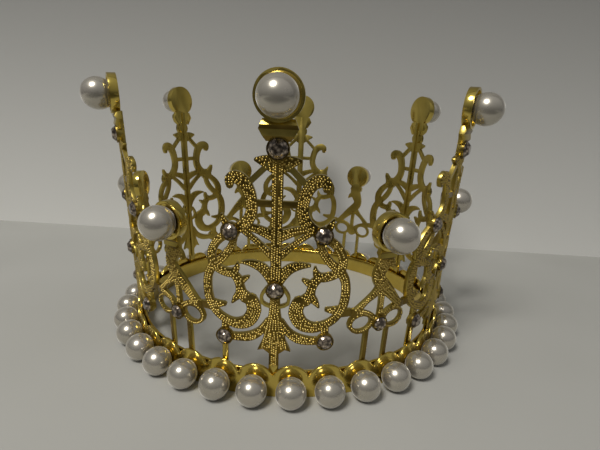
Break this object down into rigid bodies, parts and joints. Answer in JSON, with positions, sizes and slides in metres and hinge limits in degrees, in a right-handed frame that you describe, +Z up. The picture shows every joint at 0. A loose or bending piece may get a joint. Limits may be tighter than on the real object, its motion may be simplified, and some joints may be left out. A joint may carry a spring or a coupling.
{
  "type": "crown",
  "caption": "Small round crown of pierced gilt panels, tall and short by turns, in a scalloped base ring, with pearls round the base and on the points and paste stones in bezels",
  "frame": {"origin": "on the axis of the ring, in the plane the crown stands on", "axes": "+Z is up, -Y is the front, which a tall panel faces, and +X is to the right seen from the front"},
  "size_m": [0.1376, 0.1416, 0.0876],
  "materials": {
    "gold": "gilt casting, polished on the base and cups, beaded on the panel fronts",
    "pearl": "pearl lacquer over a plastic bead",
    "stone": "faceted paste with a mirrored back"
  },
  "bodies": {
    "root": {"scalloped_band": "gold", "inner_hoop": "gold", "base_pearls_1": "pearl", "base_pearls_2": "pearl", "base_pearls_3": "pearl", "base_pearls_4": "pearl", "base_pearls_5": "pearl", "base_pearls_6": "pearl", "base_pearls_7": "pearl", "base_pearls_8": "pearl", "base_pearls_9": "pearl", "base_pearls_10": "pearl", "base_pearls_11": "pearl", "base_pearls_12": "pearl", "tall_panel_1": "gold", "tall_panel_2": "gold", "tall_panel_3": "gold", "tall_panel_4": "gold", "tall_panel_5": "gold", "tall_panel_6": "gold", "short_panel_1": "gold", "short_panel_2": "gold", "short_panel_3": "gold", "short_panel_4": "gold", "short_panel_5": "gold", "short_panel_6": "gold", "tall_pearl_1": "pearl", "tall_pearl_2": "pearl", "tall_pearl_3": "pearl", "tall_pearl_4": "pearl", "tall_pearl_5": "pearl", "tall_pearl_6": "pearl", "short_pearl_1": "pearl", "short_pearl_2": "pearl", "short_pearl_3": "pearl", "short_pearl_4": "pearl", "short_pearl_5": "pearl", "short_pearl_6": "pearl", "tall_stones_1": "stone", "tall_stones_2": "stone", "tall_stones_3": "stone", "tall_stones_4": "stone", "tall_stones_5": "stone", "tall_stones_6": "stone", "short_stone_1": "stone", "short_stone_2": "stone", "short_stone_3": "stone", "short_stone_4": "stone", "short_stone_5": "stone", "short_stone_6": "stone"}
  },
  "joints": []
}
